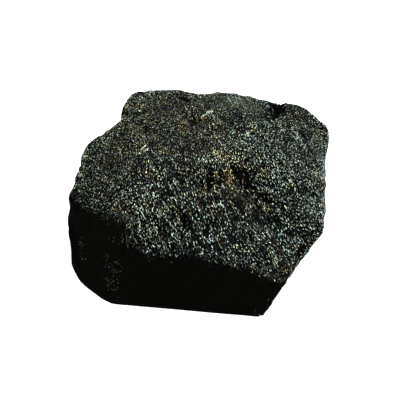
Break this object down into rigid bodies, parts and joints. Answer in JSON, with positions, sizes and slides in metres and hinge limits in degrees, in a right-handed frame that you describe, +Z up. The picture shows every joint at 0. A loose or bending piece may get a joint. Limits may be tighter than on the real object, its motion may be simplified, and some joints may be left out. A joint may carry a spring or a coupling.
{
  "type": "hard pitch lump",
  "caption": "Hand-sized lump of hard black pitch with a flat base, smooth cleaved front faces and a coarse granular break over the rest.",
  "frame": {"origin": "on the flat base, under the middle of the lump's outline seen from above", "axes": "+Z up from the base, +X along the length to the right of the cleaved front face, which faces -Y"},
  "size_m": [0.1218, 0.0992, 0.0546],
  "materials": {
    "pitch": "near-black pitch: coarse granular break with grey-green glints and rusty specks, and smooth satin cleaved faces"
  },
  "bodies": {
    "root": {"pitch_lump": "pitch"}
  },
  "joints": []
}
